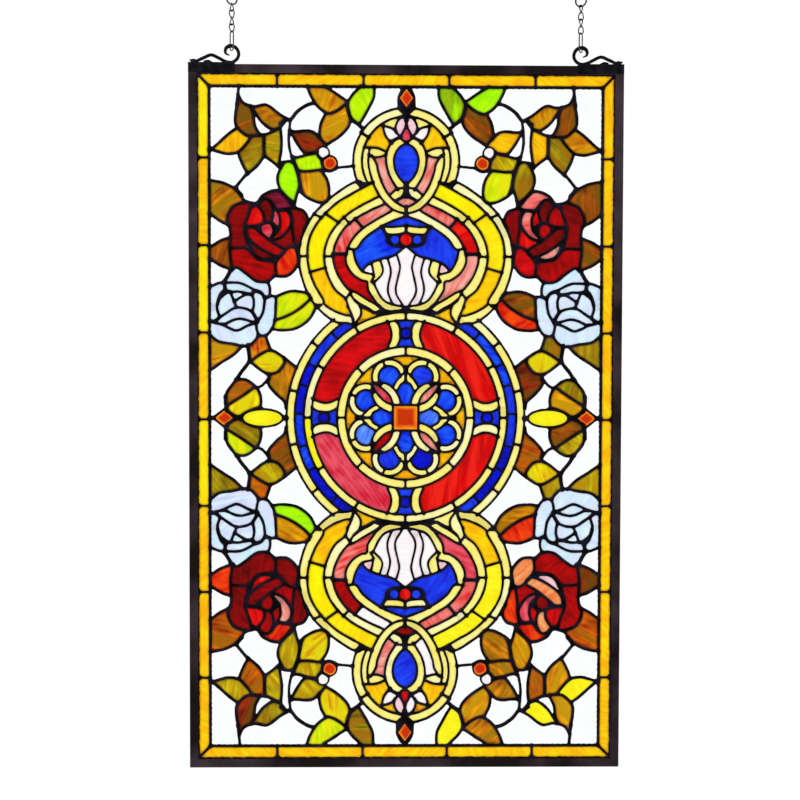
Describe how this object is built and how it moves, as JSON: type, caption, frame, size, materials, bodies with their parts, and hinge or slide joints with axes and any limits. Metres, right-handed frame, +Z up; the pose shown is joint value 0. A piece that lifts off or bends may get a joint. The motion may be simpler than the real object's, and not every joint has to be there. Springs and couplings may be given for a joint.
{
  "type": "stained glass window panel",
  "caption": "Tall leaded glass panel with a round medallion, lobed arches, finials and leaves, in a metal channel frame hung from two scrolls and chains",
  "frame": {"origin": "midway between the tops of the two end rings that the panel hangs from", "axes": "X runs across the panel to the viewer's right, Z is up, and the front face looks towards -Y"},
  "size_m": [0.508, 0.01, 0.9104],
  "materials": {
    "frame": "dark patinated channel, a little worn and bluish at the solder",
    "came": "black patinated solder beads with soft highlights",
    "hanger": "black patinated metal",
    "chain": "darkened steel links",
    "border_glass": "streaky amber cathedral glass",
    "red_glass": "streaky red cathedral glass",
    "blue_glass": "cobalt cathedral glass",
    "cream_glass": "opalescent cream and yellow glass",
    "jewel_glass": "bevelled orange and yellow jewels",
    "field_glass": "seedy clear glass with green, brown and amber leaves"
  },
  "bodies": {
    "root": {"frame_top": "frame", "frame_bottom": "frame", "frame_left": "frame", "frame_right": "frame", "came": "came", "scroll_left": "hanger", "scroll_right": "hanger", "chain_left": "chain", "chain_right": "chain", "diamond_top": "jewel_glass", "diamond_bottom": "jewel_glass", "centre_jewel": "jewel_glass", "medallion_rosette": "blue_glass", "medallion_inner_ring": "cream_glass", "medallion_cream_ring": "cream_glass", "hub_top": "blue_glass", "hub_bottom": "blue_glass", "hub_left": "blue_glass", "hub_right": "blue_glass", "blue_arc_left": "blue_glass", "blue_arc_right": "blue_glass", "outer_arc_left": "cream_glass", "outer_arc_right": "cream_glass", "oval_left": "jewel_glass", "oval_right": "jewel_glass", "heart_top": "blue_glass", "heart_bottom": "blue_glass", "finial_top": "blue_glass", "finial_bottom": "blue_glass", "border_left": "border_glass", "border_right": "border_glass", "border_top": "border_glass", "border_bottom": "border_glass", "field_left": "field_glass", "field_right": "field_glass", "field_top_left": "field_glass", "field_top_right": "field_glass", "field_bottom_left": "field_glass", "field_bottom_right": "field_glass", "red_rose_top_left": "red_glass", "red_rose_top_right": "red_glass", "red_rose_bottom_left": "red_glass", "red_rose_bottom_right": "red_glass", "blue_rose_top_left": "blue_glass", "blue_rose_top_right": "blue_glass", "blue_rose_bottom_left": "blue_glass", "blue_rose_bottom_right": "blue_glass", "red_sector_top_left": "red_glass", "red_sector_top_right": "red_glass", "red_sector_bottom_left": "red_glass", "red_sector_bottom_right": "red_glass", "lobe_band_top_left": "cream_glass", "lobe_band_top_right": "cream_glass", "lobe_band_bottom_left": "cream_glass", "lobe_band_bottom_right": "cream_glass", "lobe_red_band_top_left": "red_glass", "lobe_red_band_top_right": "red_glass", "lobe_red_band_bottom_left": "red_glass", "lobe_red_band_bottom_right": "red_glass"}
  },
  "joints": []
}
